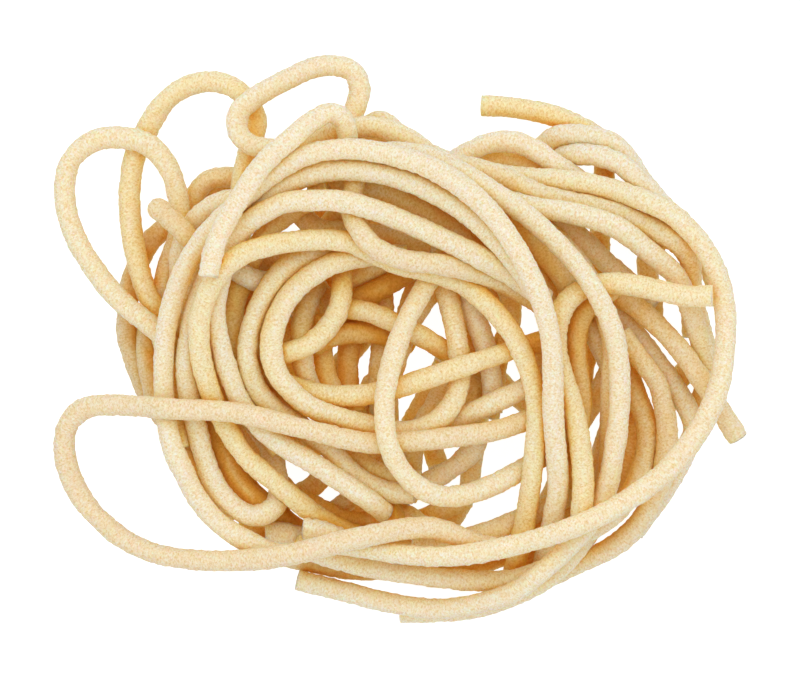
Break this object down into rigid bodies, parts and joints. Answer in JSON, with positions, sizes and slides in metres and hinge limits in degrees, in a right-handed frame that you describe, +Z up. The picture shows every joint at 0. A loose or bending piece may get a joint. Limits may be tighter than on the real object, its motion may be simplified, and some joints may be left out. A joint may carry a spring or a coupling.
{
  "type": "bundle of dry pici pasta",
  "caption": "Loose oval nest of thick hand-rolled dry pasta strands, tangled round an open middle, with loops and cut ends standing out at its rim.",
  "frame": {"origin": "middle of the nest's bounding box, on the surface it lies on", "axes": "+Z up, away from the surface; +X along the nest's longest side, towards the side with the cut end that stands out; +Y towards the side with the three upright loops"},
  "size_m": [0.1068, 0.0876, 0.0239],
  "materials": {
    "pasta": "matte, finely mottled dry semolina dough"
  },
  "bodies": {
    "root": {"pici_bundle": "pasta"}
  },
  "joints": []
}
